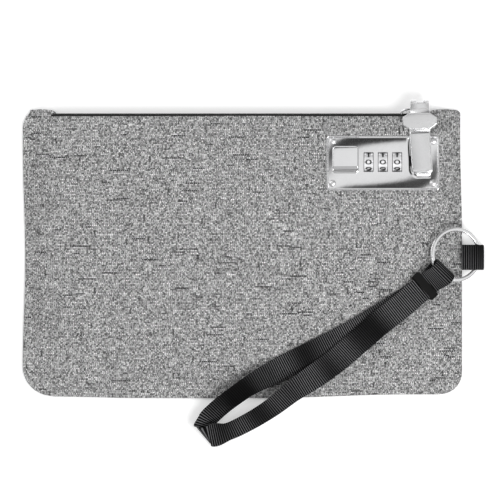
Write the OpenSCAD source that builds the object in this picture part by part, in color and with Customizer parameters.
// Cash deposit bag: a zipped cloth pouch with a three-dial lock over the zip pull,
// a split ring in a side tab and a webbing wrist strap. The bag lies on its back.
// X runs right, Y runs to the zip, Z runs up out of the front. Origin: centre of the back face.

/* [Bag] */
// Width of the bag over its side seams
bag_w = 270; // [225:1:330]
// Height of the bag, from the bottom seam to the top of the zip
bag_h = 177.6; // [170:0.1:220]
// Thickness of the woven outer cloth
cloth_t = 1.2; // [0.8:0.1:1.5]
// Thickness of the lining cloth
lining_t = 0.3; // [0.2:0.05:0.4]
// How far the front panel bulges above its seam
bulge = 10.6; // [9:0.1:13]
// Flat width of the seam round the edge
seam_w = 5; // [4:0.5:8]
// Length over which the bulge rises from the side seams at the bottom of the bag
rise_side = 40; // [30:1:50]
// Length over which the bulge rises from the side seams at the zip
rise_top = 16; // [12:1:20]
// Length over which the bulge rises from the bottom seam
rise_bottom = 52; // [40:1:60]
// Radius of the two bottom corners
corner_r = 13; // [6:0.5:18]

/* [Zip] */
// Height of the middle of the zip above the table
zip_z = 6.3; // [6:0.1:7]
// Distance from the top of the bag down to the middle of the zip tape
zip_drop = 3.1; // [3:0.1:5]
// Thickness of the zip tape
tape_t = 0.6; // [0.4:0.1:0.8]
// Width of one row of zip coil
coil_w = 1.4; // [1.2:0.1:1.8]
// Thickness of the zip coil
coil_t = 1.6; // [1.4:0.1:2]
// Gap between the two rows of coil that the slider's post runs in
coil_gap = 1.8; // [1.6:0.1:2.2]
// Width of the cloth tab over each end of the zip
end_tab_w = 17; // [14:0.5:22]

/* [Slider and pull] */
// Width of the slider body along the zip
slider_l = 17.4; // [14:0.2:20]
// Width of the slider body across the zip
slider_w = 7; // [6.6:0.1:7.2]
// Thickness of the slider's two plates
slider_plate = 1.4; // [1:0.1:2]
// Radius of the pull's hinge pin
pull_pin_r = 1.2; // [1:0.1:1.4]
// Radius of the pull's knuckle
knuckle_r = 3.5; // [3.2:0.1:3.6]
// Width of the pull's knuckle
knuckle_w = 11.3; // [10:0.1:13]
// Width of the pull's head
head_w = 21.1; // [18:0.1:23]
// Length of the pull's head
head_l = 9.9; // [8:0.1:12]
// Width of the pull's arm
arm_w = 12.6; // [12:0.1:15]
// How far the arm's free end stands to the right of its head
arm_lean = 1.6; // [0:0.1:2]
// Length of the pull's arm below its head
arm_l = 28; // [24:0.1:30]
// Thickness of the pull's arm
arm_t = 1.8; // [1.4:0.1:2.4]

/* [Lock] */
// Width of the lock plate
plate_w = 69.6; // [69.6:0.1:76]
// Height of the lock plate
plate_h = 33.7; // [33.7:0.1:38]
// Thickness of the lock plate
plate_t = 1.2; // [1:0.1:1.4]
// Distance from the bag's right side to the middle of the lock plate
plate_from_right = 48.4; // [46:0.1:60]
// Distance from the top of the bag to the middle of the lock plate
plate_from_top = 33; // [32:0.1:34]
// Height of the cloth under the lock plate
plateau_z = 15.2; // [15:0.1:16]
// Distance between rivets along the plate
rivet_dx = 62; // [60:0.1:63]
// Distance between rivets across the plate
rivet_dy = 26; // [25.6:0.1:28]
// Radius of a rivet's head
rivet_head_r = 1.9; // [1.5:0.1:2.2]
// Radius of a rivet's shank
rivet_shank_r = 1; // [0.8:0.1:1.2]
// Radius of a number dial
dial_r = 7.6; // [7:0.1:7.7]
// Width of a number dial
dial_w = 5.4; // [4.8:0.1:5.6]
// Distance between two dials
dial_pitch = 8.8; // [7.4:0.1:9]
// How far the dials stand above the lock plate
dial_proud = 1.2; // [0.9:0.1:1.3]
// Radius of the dials' axle
axle_r = 1.5; // [1.2:0.1:2]
// Radius of the clutch sleeve inside a dial
clutch_r = 3.5; // [3:0.1:4]
// Wall of the lock case
case_wall = 0.8; // [0.6:0.1:1]
// Height of the lock case across the dials
case_h = 21.8; // [21:0.1:22]
// Width of the release button
button_w = 16.2; // [14:0.1:17]
// Height of the release button
button_h = 16.9; // [14:0.1:18]
// Height of the release button's lip above the lock plate
button_rise = 3.2; // [2.4:0.1:4]
// Travel of the release button and the bolt
bolt_travel = 2.2; // [1.8:0.1:2.3]
// Radius of the bolt's locking pin
bolt_pin_r = 0.7; // [0.6:0.05:0.8]
// Side of the square bolt bar
bolt_bar = 1.6; // [1.2:0.1:1.8]

/* [Ring and strap] */
// Outer radius of the split ring
ring_r = 16.8; // [15:0.1:20]
// Width of the ring's wire across the ring
wire_w = 2.4; // [2:0.1:2.8]
// Thickness of one turn of the ring
turn_t = 1.05; // [0.8:0.05:1.2]
// Slope of the ring where it leans on the bag, in degrees
ring_lean = 22; // [20:1:26]
// Width of the webbing
webbing_w = 15.5; // [13:0.1:16]
// Thickness of the webbing
webbing_t = 1.1; // [0.9:0.1:1.3]
// Inner radius of the side tab's fold
tab_fold_r = 4.5; // [4.4:0.1:5]
// How far the side tab stands out from the bag
tab_out = 14; // [13.6:0.1:16]
// Inner radius of the strap's fold round the ring
strap_fold_r = 4.2; // [4:0.1:5]

/* [Hidden] */

gap = 0.3;            // clearance between pieces that move past each other
fit = 0.06;           // radial clearance of a running fit
overlap = 0.2;        // how far a cutter runs past what it cuts
full_turn = 360;

right_x = bag_w / 2;
top_y = bag_h / 2;
bottom_y = -bag_h / 2;
zip_y = top_y - zip_drop;
panel_top_y = zip_y - tape_t / 2 - 0.8;
seam_z = 2 * cloth_t;
lining_inset = seam_w + 8;
lining_drop = 1;     // room between a curved cloth and its lining
lining_top_y = zip_y - coil_t / 2 - slider_plate - 3 * gap - 0.6;

// Grid of the curved panels
cells_x = 40;
cells_y = 28;

// Lock places
lock_x = right_x - plate_from_right;
lock_y = top_y - plate_from_top;
plate_top_z = plateau_z + plate_t;
rivet_y = lock_y + 0.5;
dial_y = lock_y + 0.6;
dial_z = plate_top_z + dial_proud - dial_r;
case_x0 = lock_x - rivet_dx / 2 - 2;
case_x1 = lock_x + rivet_dx / 2 + 2;
case_y0 = dial_y - case_h / 2;
case_y1 = dial_y + case_h / 2;
back_sheet_t = 0.6;
case_z0 = cloth_t + lining_t + gap + back_sheet_t;
clutch_flange = 0.6;
dial_wall_0 = lock_x - dial_pitch - dial_w / 2 - gap - case_wall - 0.3;
dial_wall_1 = lock_x + dial_pitch + dial_w / 2 + clutch_flange + gap + case_wall;
bar_y0 = case_y0 + case_wall + gap;
bar_z0 = plateau_z - gap - bolt_bar;
catch_t = 2.6;
catch_l = 4.4;
catch_eye_r = bolt_pin_r + gap;

button_x0 = lock_x - plate_w / 2 + 3.7;
button_y0 = dial_y - 7;
button_corner = 2;
button_lip_r = 1.35;  // radius of the rolled lip at the button's lower end
stem_w = 6;           // side of the button's stem, which goes through the plate
plate_corner = 1.3;

// Pull places
pull_x = right_x - 25.7;
pin_y = zip_y + 5.9;
pin_z = zip_z + 5.7;
arm_z = plate_top_z + gap;
head_y1 = top_y - 2.2;
head_y0 = head_y1 - head_l;
arm_y0 = head_y0 - arm_l;
lug_w = 3.8;          // width of the slider's lug, which the pull's knuckle straddles
lip_r = 1.2;          // radius of the rolled lip at the arm's free end
lip_cut = 2.6;        // width of the cut corner beside it
catch_x1 = pull_x + 4.65;
catch_y0 = dial_y - catch_l / 2 + 0.6;
catch_z0 = bar_z0 + bolt_bar / 2 - catch_eye_r - 0.6;
catch_slide = 8.9;    // how far the catch runs along its slot while the pull lifts it out

// Ring places
ring_mean = ring_r - wire_w / 2;
ring_y = -0.6;
tab_y = -2.3;
fold_x = right_x + tab_out - webbing_t - tab_fold_r;
fold_z = tab_fold_r + webbing_t + 0.2;
ring_pivot_x = right_x + tab_out - webbing_t - gap - wire_w / 2 - 0.3;
ring_pivot_z = fold_z - 0.4;

// Lower-left end of the ring, where the strap goes round it
strap_at = 228;       // direction from the ring's centre, in degrees

function clamp01(t) = max(0, min(1, t));
function smooth(t) = let (c = clamp01(t)) c * c * (3 - 2 * c);
function rise(t) = sin(90 * clamp01(t));

// Inset of the bag's side at height y, where the bottom corners are round
function corner_inset(y) =
    let (d = corner_r - (y - bottom_y))
    d <= 0 ? 0 : corner_r - sqrt(max(0, corner_r * corner_r - d * d));

// How far a point lies outside the lock plate's edge
function plate_away(x, y) =
    max(abs(x - lock_x) - plate_w / 2 - 1, abs(y - lock_y) - plate_h / 2 - 1, 0);

// Height of the front panel's outer face
function front_z(x, y) =
    let (up = clamp01((y - bottom_y) / bag_h),
         side = rise((right_x - seam_w - abs(x)) / (rise_side + (rise_top - rise_side) * up)),
         low = rise((y - bottom_y - seam_w) / rise_bottom),
         mouth = 1 - 0.14 * pow(clamp01((y - 30) / (panel_top_y - 30)), 2),
         open = seam_z + bulge * side * low * mouth,
         m = 1 - smooth(plate_away(x, y) / 11.5))
    open + (plateau_z - open) * m;

// A curved cloth between two heights below the front panel's face
module curved_cloth(inset, y_top, below, thick, floor_z) {
    y_low = bottom_y + inset;
    top = [for (j = [0:cells_y], i = [0:cells_x])
        let (t = j / cells_y,
             y = y_low + (y_top - y_low) * (t < 0.1 ? t * t / 0.1 * 0.5 + t * 0.5 : t),
             half = right_x - inset - corner_inset(y - inset / 2),
             x = half * (2 * i / cells_x - 1))
        [x, y, max(front_z(x, y) - below, floor_z + thick)]];
    low = [for (p = top) [p[0], p[1], max(p[2] - thick, floor_z)]];
    n = len(top);
    row = cells_x + 1;
    function at(i, j) = j * row + i;
    up_faces = [for (j = [0:cells_y - 1], i = [0:cells_x - 1])
        each [[at(i, j), at(i + 1, j + 1), at(i + 1, j)], [at(i, j), at(i, j + 1), at(i + 1, j + 1)]]];
    down_faces = [for (f = up_faces) [f[2] + n, f[1] + n, f[0] + n]];
    rim = concat([for (i = [0:cells_x - 1]) at(i, 0)], [for (j = [0:cells_y - 1]) at(cells_x, j)],
                 [for (i = [cells_x:-1:1]) at(i, cells_y)], [for (j = [cells_y:-1:1]) at(0, j)]);
    sides = [for (k = [0:len(rim) - 1])
        let (a = rim[k], b = rim[(k + 1) % len(rim)])
        each [[a, b, b + n], [a, b + n, a + n]]];
    polyhedron(concat(top, low), concat(up_faces, down_faces, sides));
}

// Outline of the flat back
module bag_outline(inset, y_top) {
    r = corner_r - inset / 2;
    union() {
        translate([-right_x + inset, bottom_y + inset + r])
            square([bag_w - 2 * inset, y_top - bottom_y - inset - r]);
        translate([-right_x + inset + r, bottom_y + inset])
            square([bag_w - 2 * inset - 2 * r, r + 1]);
        for (s = [-1, 1])
            translate([s * (right_x - inset - r), bottom_y + inset + r])
                circle(r, $fn = 64);
    }
}

module rivet_places() {
    for (sx = [-1, 1], sy = [-1, 1])
        translate([lock_x + sx * rivet_dx / 2, rivet_y + sy * rivet_dy / 2, 0])
            children();
}

module lock_window(clear) {
    translate([case_x0 - clear, case_y0 - clear, case_z0 - 1])
        cube([case_x1 - case_x0 + 2 * clear, case_h + 2 * clear, 30]);
}

module front_panel() {
    color("darkgray")
        difference() {
            curved_cloth(0, panel_top_y, 0, cloth_t, cloth_t);
            lock_window(gap);
            rivet_places()
                cylinder(h = 30, r = rivet_shank_r + gap, $fn = 32);
        }
}

module back_panel() {
    color("gray")
        linear_extrude(cloth_t)
            bag_outline(0, panel_top_y);
}

module lining_front() {
    color("dimgray")
        difference() {
            curved_cloth(lining_inset, lining_top_y, cloth_t + lining_drop, lining_t, cloth_t + lining_t + gap);
            lock_window(gap);
            rivet_places()
                cylinder(h = 30, r = rivet_shank_r + 1, $fn = 32);
        }
}

module lining_back() {
    color("dimgray")
        translate([0, 0, cloth_t])
            linear_extrude(lining_t)
                bag_outline(lining_inset - 2, lining_top_y);
}

// Cloth tab folded over one end of the zip
module end_tab(side) {
    x0 = side < 0 ? -right_x + 1 : right_x - end_tab_w;
    w = end_tab_w - 1;
    z0 = cloth_t + 0.1;
    cut = 4;
    translate([0, panel_top_y + 0.05, z0])
        linear_extrude(front_z(x0 + w / 2, panel_top_y) - z0 - 0.4)
            polygon([[x0 + (side < 0 ? cut / 2 : 0), top_y - panel_top_y],
                     [x0 + w - (side > 0 ? cut / 2 : 0), top_y - panel_top_y],
                     [x0 + w, top_y - panel_top_y - (side > 0 ? cut : 0)],
                     [x0 + w, 0],
                     [x0, 0],
                     [x0, top_y - panel_top_y - (side < 0 ? cut : 0)]]);
}

module zip_end_tab_left() {
    color("gray")
        end_tab(-1);
}

module zip_end_tab_right() {
    color("gray")
        end_tab(1);
}

zip_x0 = -right_x + end_tab_w + 0.1;
zip_x1 = right_x - end_tab_w - 0.1;
mouth_z = front_z(0, panel_top_y) - 0.6;
coil_front_z = zip_z + coil_gap / 2;
coil_back_z = zip_z - coil_gap / 2 - coil_w;

module zip_tape_front() {
    z0 = coil_front_z + coil_w;
    color("black")
        translate([zip_x0, zip_y - tape_t / 2, z0])
            cube([zip_x1 - zip_x0, tape_t, mouth_z - z0]);
}

module zip_tape_back() {
    color("black")
        translate([zip_x0, zip_y - tape_t / 2, cloth_t])
            cube([zip_x1 - zip_x0, tape_t, coil_back_z - cloth_t]);
}

module coil_row(z0) {
    translate([zip_x0, zip_y - coil_t / 2, z0])
        cube([zip_x1 - zip_x0, coil_t, coil_w]);
}

module zip_coil_front() {
    color("black")
        coil_row(coil_front_z);
}

module zip_coil_back() {
    color("black")
        coil_row(coil_back_z);
}

// A stop clamped on each row of coil at both ends of the zip
module zip_stops() {
    stop_l = 1.4;
    stop_t = 0.7;
    color("silver")
        for (x = [zip_x0 + gap, zip_x1 - 0.2 - stop_l], z = [coil_front_z + coil_w - 0.9, coil_back_z])
            translate([x, zip_y + coil_t / 2, z])
                cube([stop_l, stop_t, 0.9]);
}

// Slider: outer and inner plates joined by a post between the rows of coil
module slider_body() {
    outer_y = zip_y + coil_t / 2 + gap;
    inner_y = zip_y - coil_t / 2 - gap - slider_plate;
    x0 = pull_x - slider_l / 2 - 2;
    post_t = coil_gap - 2 * gap;
    color("silver")
        union() {
            for (y = [outer_y, inner_y])
                translate([x0 + slider_l / 2, y, zip_z])
                    rotate([-90, 0, 0])
                        linear_extrude(slider_plate)
                            intersection() {
                                square([slider_l, slider_w], center = true);
                                circle(slider_l / 2 + 0.4, $fn = 96);
                            }
            translate([x0 + slider_l * 0.62, inner_y + 0.1, zip_z - post_t / 2])
                cube([3.2, outer_y - inner_y, post_t]);
            translate([pull_x - lug_w / 2, 0, 0])
                rotate([90, 0, 90])
                    linear_extrude(lug_w)
                        difference() {
                            union() {
                                polygon([[outer_y + slider_plate - 0.2, zip_z - 2.6],
                                         [outer_y + slider_plate - 0.2, zip_z + 2.6],
                                         [pin_y - 1.6, pin_z + 1.6], [pin_y + 0.6, pin_z - 2.2]]);
                                translate([pin_y, pin_z])
                                    circle(2.3, $fn = 64);
                            }
                            translate([pin_y, pin_z])
                                circle(pull_pin_r, $fn = 64);
                        }
        }
}

module pull_pin() {
    color("silver")
        translate([pull_x - knuckle_w / 2 + 0.4, pin_y, pin_z])
            rotate([0, 90, 0])
                cylinder(h = knuckle_w - 0.8, r = pull_pin_r, $fn = 64);
}

// Pull: knuckle, neck, head and arm, with the catch's eye under the arm
module puller() {
    slot_w = lug_w + 2 * gap;
    head_z = arm_z - 0.6;
    head_t = arm_t + 0.8;
    half = head_w / 2;
    neck = arm_w / 2;
    color("silver")
        union() {
            difference() {
                translate([pull_x - knuckle_w / 2, 0, 0])
                    rotate([90, 0, 90])
                        linear_extrude(knuckle_w)
                            difference() {
                                union() {
                                    translate([pin_y, pin_z])
                                        circle(knuckle_r, $fn = 96);
                                    polygon([[pin_y - 2.2, pin_z + 2.2], [pin_y + 1.6, pin_z + 3.2],
                                             [head_y1 + 0.4, head_z + head_t],
                                             [head_y1 - 2, head_z + head_t],
                                             [head_y1 - 2, head_z], [head_y1 - 0.6, head_z]]);
                                }
                                translate([pin_y, pin_z])
                                    circle(pull_pin_r + fit, $fn = 64);
                            }
                translate([pull_x - slot_w / 2, 0, 0])
                    rotate([90, 0, 90])
                        linear_extrude(slot_w)
                            union() {
                                translate([pin_y, pin_z])
                                    circle(2.3 + gap, $fn = 64);
                                translate([pin_y - 8, pin_z - 8])
                                    square([16, 10.3]);
                                translate([pin_y + 1, pin_z])
                                    square([8, 8]);
                            }
            }
            // Head with wide cut corners that run down into the arm
            translate([pull_x, 0, head_z])
                linear_extrude(head_t)
                    polygon([[-neck, head_y0], [neck, head_y0], [half - 0.4, head_y0 + 2.6],
                             [half, head_y1 - 3], [neck, head_y1], [-neck, head_y1],
                             [-half, head_y1 - 3], [0.4 - half, head_y0 + 2.6]]);
            // Arm that leans a little to the right and ends in cut corners and a rolled lip
            translate([pull_x, 0, arm_z])
                linear_extrude(arm_t)
                    polygon([[-neck, head_y0 + 0.2], [arm_lean - neck, arm_y0 + 3],
                             [arm_lean - neck + lip_cut, arm_y0 + lip_r],
                             [arm_lean + neck - lip_cut, arm_y0 + lip_r],
                             [arm_lean + neck, arm_y0 + 3], [neck, head_y0 + 0.2]]);
            translate([pull_x + arm_lean - neck + lip_cut, arm_y0 + lip_r, arm_z + lip_r])
                rotate([0, 90, 0])
                    cylinder(h = arm_w - 2 * lip_cut, r = lip_r, $fn = 48);
            // Catch that stands in the plate's slot
            translate([catch_x1 - catch_t, 0, 0])
                rotate([90, 0, 90])
                    linear_extrude(catch_t)
                        difference() {
                            translate([catch_y0, catch_z0])
                                square([catch_l, arm_z - catch_z0 + 0.1]);
                            translate([catch_y0 + catch_l / 2, bar_z0 + bolt_bar / 2])
                                circle(catch_eye_r, $fn = 48);
                        }
        }
}

// Windows for the dials, the catch and the button's stem, cut through the lock plate
module plate_cuts() {
    dial_reach = dial_r + 0.4;
    at_plate = sqrt(dial_reach * dial_reach - pow(plateau_z - dial_z, 2));
    for (k = [-1:1])
        translate([lock_x + k * dial_pitch - dial_w / 2 - 0.35, dial_y - at_plate, plateau_z - overlap])
            cube([dial_w + 0.7, 2 * at_plate, plate_t + 2 * overlap]);
    translate([catch_x1 - catch_t - catch_slide, catch_y0 - 1, plateau_z - overlap])
        cube([catch_t + catch_slide + 0.4, catch_l + 2, plate_t + 2 * overlap]);
    translate([button_x0 + button_w / 2 - stem_w / 2 - bolt_travel - gap, dial_y - 3.3, plateau_z - overlap])
        cube([stem_w + bolt_travel + 2 * gap, 6.6, plate_t + 2 * overlap]);
}

// A rectangle with round corners, from the middle of its lower left corner's arc
module rounded_plan(w, h, r) {
    union() {
        translate([-r, 0])
            square([w, h - 2 * r]);
        translate([0, -r])
            square([w - 2 * r, h]);
        for (x = [0, w - 2 * r], y = [0, h - 2 * r])
            translate([x, y])
                circle(r, $fn = 48);
    }
}

module lock_plate() {
    color("gainsboro")
        difference() {
            translate([lock_x - plate_w / 2 + plate_corner, lock_y - plate_h / 2 + plate_corner, plateau_z])
                linear_extrude(plate_t)
                    rounded_plan(plate_w, plate_h, plate_corner);
            plate_cuts();
            rivet_places()
                cylinder(h = 30, r = rivet_shank_r + 0.05, $fn = 48);
        }
}

// Tray under the plate, with the walls that carry the dials' axle
module lock_case() {
    h = plateau_z - case_z0;
    color("slategray")
        difference() {
            translate([case_x0, case_y0, case_z0])
                cube([case_x1 - case_x0, case_h, h]);
            // Room for the button's spring, the dials, and the catch
            for (span = [[case_x0 + case_wall, dial_wall_0], [dial_wall_0 + case_wall, dial_wall_1 - case_wall],
                         [dial_wall_1, case_x1 - case_wall]])
                translate([span[0], case_y0 + case_wall, case_z0 - overlap])
                    cube([span[1] - span[0], case_h - 2 * case_wall, h + 2 * overlap]);
            // Way for the bolt bar through the two walls
            translate([case_x0 + case_wall, bar_y0 - gap, bar_z0 - gap])
                cube([case_x1 - case_x0 - 2 * case_wall, bolt_bar + 2 * gap, 10]);
            translate([dial_wall_0 - 1, dial_y, dial_z])
                rotate([0, 90, 0])
                    cylinder(h = dial_wall_1 - dial_wall_0 + 2, r = axle_r, $fn = 64);
        }
}

module lock_backplate() {
    color("slategray")
        translate([case_x0, case_y0, case_z0 - back_sheet_t])
            cube([case_x1 - case_x0, case_h, back_sheet_t]);
}

// Four rivets with domed heads, through the plate and the cloth to a washer behind it
module lock_rivets() {
    washer_t = 0.5;
    color("silver")
        rivet_places()
            union() {
                translate([0, 0, plateau_z - cloth_t - gap - lining_t - washer_t])
                    cylinder(h = cloth_t + gap + lining_t + washer_t + plate_t + 0.3, r = rivet_shank_r, $fn = 48);
                translate([0, 0, plateau_z - cloth_t - gap - lining_t - washer_t])
                    cylinder(h = washer_t, r = rivet_head_r, $fn = 48);
                translate([0, 0, plate_top_z])
                    rotate_extrude($fn = 48)
                        intersection() {
                            translate([0, -1.6])
                                circle(2.45, $fn = 64);
                            square([rivet_head_r, 2]);
                        }
            }
}

module dial_axle() {
    color("silver")
        translate([dial_wall_0, dial_y, dial_z])
            rotate([0, 90, 0])
                cylinder(h = dial_wall_1 - dial_wall_0, r = axle_r, $fn = 64);
}

// A number wheel with grip notches between its ten numbers
module dial(k) {
    numbers = 10;
    rim = 1.1;
    color("silver")
        translate([lock_x + (k - 2) * dial_pitch - dial_w / 2, dial_y, dial_z])
            rotate([90, 0, 90])
                difference() {
                    union() {
                        cylinder(h = dial_w, r = dial_r - 0.5, $fn = 96);
                        for (z = [0, dial_w - rim])
                            translate([0, 0, z])
                                cylinder(h = rim, r = dial_r, $fn = 96);
                    }
                    translate([0, 0, -1])
                        cylinder(h = dial_w + 2, r = clutch_r + fit, $fn = 64);
                    for (a = [0:numbers - 1], z = [-1, dial_w - rim])
                        rotate([0, 0, (a + 0.5) * full_turn / numbers])
                            translate([dial_r + 0.1, 0, z])
                                cylinder(h = rim + 1, r = 0.8, $fn = 24);
                }
}

module dial_1() { dial(1); }
module dial_2() { dial(2); }
module dial_3() { dial(3); }

// Sleeve that locks a dial to the code
module clutch(k) {
    color("dimgray")
        translate([lock_x + (k - 2) * dial_pitch - dial_w / 2, dial_y, dial_z])
            rotate([0, 90, 0])
                difference() {
                    union() {
                        cylinder(h = dial_w, r = clutch_r, $fn = 64);
                        translate([0, 0, dial_w])
                            cylinder(h = clutch_flange, r = clutch_r + 0.9, $fn = 64);
                    }
                    translate([0, 0, -1])
                        cylinder(h = dial_w + 3, r = axle_r + fit, $fn = 64);
                }
}

module clutch_1() { clutch(1); }
module clutch_2() { clutch(2); }
module clutch_3() { clutch(3); }

// Leaf spring beside the dials, one finger for each
module detent_spring() {
    y0 = case_y1 - case_wall - 1;
    color("silver")
        union() {
            translate([dial_wall_0 + case_wall, y0 + 0.5, case_z0 + 0.3])
                cube([dial_wall_1 - dial_wall_0 - 2 * case_wall, 0.5, 3]);
            for (k = [-1:1])
                translate([lock_x + k * dial_pitch - 1, y0 + 0.5, case_z0 + 0.3])
                    cube([2, 0.5, 8]);
        }
}

// Bolt: button stem, bar beside the dials and the pin that enters the catch
module lock_bolt() {
    bar_x0 = button_x0 + button_w / 2 - stem_w / 2;
    bar_x1 = catch_x1 + gap + bolt_travel + 0.2 + bolt_bar;
    pin_at_y = catch_y0 + catch_l / 2;
    color("slategray")
        union() {
            translate([bar_x0, bar_y0, bar_z0])
                cube([bar_x1 - bar_x0, bolt_bar, bolt_bar]);
            translate([bar_x0, bar_y0, bar_z0])
                cube([6, dial_y - bar_y0, bolt_bar]);
            translate([bar_x1 - bolt_bar, bar_y0, bar_z0])
                cube([bolt_bar, pin_at_y - bar_y0 + bolt_pin_r, bolt_bar]);
            translate([catch_x1 + gap, pin_at_y, bar_z0 + bolt_bar / 2])
                rotate([0, 90, 0])
                    cylinder(h = bolt_travel + 0.4, r = bolt_pin_r, $fn = 48);
        }
}

module bolt_spring() {
    turns = 7;
    wire = 0.35;
    x0 = case_x0 + case_wall + 0.1;
    x1 = button_x0 + button_w / 2 - stem_w / 2 - bolt_travel - gap - wire;
    color("silver")
        union() {
            for (i = [0:turns - 1])
                translate([x0 + wire + (x1 - x0 - 2 * wire) * i / (turns - 1), dial_y - 4, bar_z0 + 0.2])
                    rotate([0, 90, 0])
                        rotate_extrude($fn = 48)
                            translate([1.1, 0])
                                circle(wire, $fn = 16);
            translate([x0, dial_y - 4 + 1.1 - wire, bar_z0 + 0.2 - wire])
                cube([x1 - x0, 2 * wire, 2 * wire]);
        }
}

// Ramped slide button with a square stem through the plate
module release_button() {
    w = button_w;
    stem_z0 = bar_z0 + bolt_bar;
    foot_z = plate_top_z + gap;
    color("gainsboro")
        union() {
            intersection() {
                translate([button_x0, 0, 0])
                    rotate([90, 0, 90])
                        linear_extrude(w)
                            union() {
                                polygon([[button_y0 + button_h, foot_z],
                                         [button_y0 + button_h, foot_z + 0.6],
                                         [button_y0 + button_h - 3, foot_z + 1.3],
                                         [button_y0 + button_lip_r, plate_top_z + button_rise],
                                         [button_y0 + button_lip_r, foot_z]]);
                                translate([button_y0 + button_lip_r, plate_top_z + button_rise - button_lip_r])
                                    circle(button_lip_r, $fn = 48);
                            }
                translate([button_x0 + button_corner, button_y0 + button_corner, foot_z])
                    linear_extrude(button_rise)
                        rounded_plan(w, button_h, button_corner);
            }
            translate([button_x0 + w / 2 - stem_w / 2, dial_y - 3, stem_z0])
                cube([stem_w, 6, foot_z + 0.2 - stem_z0]);
        }
}

// Side tab of webbing: two layers out of the seam and a round fold over the ring
module ring_tab() {
    t = webbing_t;
    outer = tab_fold_r + t;
    seam_x = right_x + 0.05;
    color("black")
        translate([0, tab_y + webbing_w / 2, 0])
            rotate([90, 0, 0])
                linear_extrude(webbing_w)
                    difference() {
                        union() {
                            translate([fold_x, fold_z])
                                circle(outer, $fn = 96);
                            polygon([[fold_x, fold_z + outer], [right_x + 4.6, fold_z + outer - 0.8],
                                     [seam_x, seam_z], [seam_x, 0.1], [fold_x, fold_z - outer]]);
                        }
                        translate([fold_x, fold_z])
                            circle(tab_fold_r, $fn = 96);
                        polygon([[fold_x, fold_z + tab_fold_r], [right_x + 5.2, fold_z + tab_fold_r - 1],
                                 [seam_x + 1.2, cloth_t + 0.2], [fold_x, fold_z - tab_fold_r]]);
                    }
}

module ring_frame() {
    translate([ring_pivot_x, ring_y, ring_pivot_z])
        rotate([0, ring_lean, 0])
            translate([-ring_mean, 0, 0])
                children();
}

// Two flat turns that lie on each other, with a stepped joint on the right
module split_ring() {
    color("silver")
        ring_frame()
            union() {
                for (z = [-turn_t, 0.02])
                    translate([0, 0, z])
                        rotate_extrude($fn = 128)
                            translate([ring_mean - wire_w / 2, 0])
                                square([wire_w, turn_t - 0.02]);
                rotate([0, 0, 40])
                    rotate_extrude(angle = 14, $fn = 128)
                        translate([ring_mean - wire_w / 2 + 0.3, -0.2])
                            square([wire_w - 0.6, 0.4]);
            }
}

// Directions at the place where the strap goes round the ring
strap_t = [-sin(strap_at) * cos(ring_lean), cos(strap_at), sin(strap_at) * sin(ring_lean)];
strap_in = [-cos(strap_at) * cos(ring_lean), -sin(strap_at), cos(strap_at) * sin(ring_lean)];
ring_n = [sin(ring_lean), 0, cos(ring_lean)];
ring_c = [ring_pivot_x - ring_mean * cos(ring_lean), ring_y, ring_pivot_z + ring_mean * sin(ring_lean)];
strap_hub = ring_c - ring_mean * strap_in;

// Direction across the webbing where it lies on the bag
across = [0.65, -0.76, 0];
lying = webbing_t / 2 + 0.75;      // height of the under strand's middle above the bag
stacked = lying + webbing_t + 0.7; // height of the upper strand's middle above the bag
keeper_lift = 1.3;                 // how far the strap stands off the bag inside its keeper
loop_r = 3.2;                      // middle radius of the fold at the loop's end
loop_end = [-21.5, -110.6, loop_r + webbing_t / 2 + gap];
keeper_at = [right_x - 22.6, -20.1];
keeper_l = 5.4;

// A place in the keeper, some way along it from its middle
function kept(along, lift) =
    lie(keeper_at[0] + 0.76 * along, keeper_at[1] + 0.65 * along, lift + keeper_lift);

// A place on the bag: middle height and a width direction that follows the cloth
function lie(x, y, lift) =
    let (h = webbing_w / 2,
         za = front_z(x + across[0] * h, y + across[1] * h),
         zb = front_z(x - across[0] * h, y - across[1] * h),
         zm = front_z(x, y),
         tilt = [across[0], across[1], (za - zb) / webbing_w])
    [[x, y, max((za + zb) / 2, zm) + lift], tilt / norm(tilt)];

function free(x, y, z, tilt = 0) =
    let (w = [across[0], across[1], tilt]) [[x, y, z], w / norm(w)];

// Places along the webbing from the keeper, round the ring, down to the loop's end and back
strap_line = concat(
    [kept(-3.4, lying), kept(0, lying), kept(3.4, lying)],
    [for (a = [-90:22.5:90])
        [strap_hub + (strap_fold_r + webbing_t / 2) * (cos(a) * strap_in + sin(a) * ring_n), strap_t]],
    [kept(3.4, stacked), kept(0, stacked), kept(-3.4, stacked),
     lie(97, -33.2, stacked + 0.5), lie(85, -42.6, stacked), lie(72.5, -53.4, stacked),
     lie(60, -64.2, stacked), lie(46, -74.6, stacked + 0.3),
     free(32, -84.4, 9.6, -0.5), free(18, -95, 8.6, -0.85), free(3.5, -103.7, 7.8, -0.85),
     free(-10.5, -109.6, 7.2, -0.35)],
    [for (a = [90:-22.5:-90])
        [loop_end + loop_r * [-0.76 * cos(a), -0.65 * cos(a), sin(a)], across / norm(across)]],
    [free(-17.8, -98.8, 5, -0.5), free(-11.3, -92.8, 7, -0.8), free(-3.9, -87.2, 8.2, -0.85),
     free(3.5, -82, 9.2, -0.75), free(13, -76.6, 9.4, -0.5),
     lie(25.6, -70, lying + 0.3), lie(40.4, -62.6, lying), lie(55, -55.6, lying),
     lie(70, -47.6, lying), lie(84.5, -38.8, lying), lie(97, -31.2, lying + 0.4), kept(-4.6, lying)]);

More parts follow.
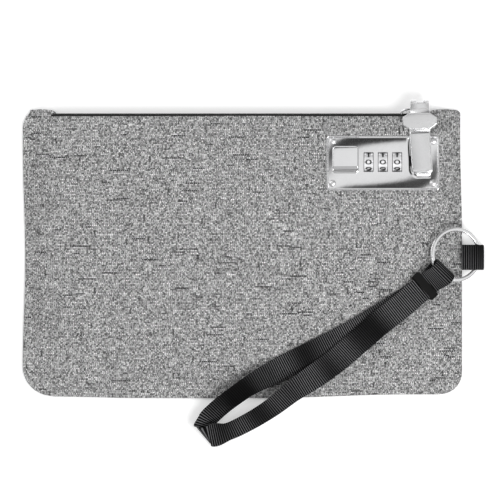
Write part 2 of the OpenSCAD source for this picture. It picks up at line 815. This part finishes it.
module wrist_strap() {
    n = len(strap_line);
    pts = [for (k = [0:n - 1])
        let (c = strap_line[k][0],
             w = strap_line[k][1],
             d = strap_line[min(k + 1, n - 1)][0] - strap_line[max(k - 1, 0)][0],
             u = cross(w, d) / norm(cross(w, d)) * webbing_t / 2,
             v = w * webbing_w / 2)
        each [c + v + u, c - v + u, c - v - u, c + v - u]];
    sides = [for (k = [0:n - 2], i = [0:3])
        let (a = 4 * k + i, b = 4 * k + (i + 1) % 4)
        each [[a, b, b + 4], [a, b + 4, a + 4]]];
    last = 4 * (n - 1);
    color("black")
        polyhedron(pts, concat([[2, 1, 0], [3, 2, 0]], sides, [[last, last + 1, last + 2], [last, last + 2, last + 3]]));
}

// Stitched ridge round both strands
module strap_keeper() {
    seat = lie(keeper_at[0], keeper_at[1], (lying + stacked) / 2 + keeper_lift);
    c = seat[0];
    w = seat[1];
    along = kept(3, lying)[0] - kept(-3, lying)[0];
    u = cross(w, along) / norm(cross(w, along));
    d = cross(u, w);
    wall = 0.8;
    side_room = 0.7;
    room = (stacked - lying + webbing_t) / 2 + 0.3;
    color("black")
        multmatrix([[w[0], d[0], u[0], c[0]], [w[1], d[1], u[1], c[1]], [w[2], d[2], u[2], c[2]], [0, 0, 0, 1]])
            rotate([90, 0, 0])
                translate([0, 0, -keeper_l / 2])
                    linear_extrude(keeper_l)
                        difference() {
                            square([webbing_w + 2 * side_room + 2 * wall, 2 * room + 2 * wall], center = true);
                            square([webbing_w + 2 * side_room, 2 * room], center = true);
                        }
}

front_panel();
back_panel();
lining_front();
lining_back();
zip_end_tab_left();
zip_end_tab_right();
zip_tape_front();
zip_tape_back();
zip_coil_front();
zip_coil_back();
zip_stops();
slider_body();
pull_pin();
puller();
lock_plate();
lock_case();
lock_backplate();
lock_rivets();
dial_axle();
dial_1();
dial_2();
dial_3();
clutch_1();
clutch_2();
clutch_3();
detent_spring();
lock_bolt();
bolt_spring();
release_button();
ring_tab();
split_ring();
wrist_strap();
strap_keeper();
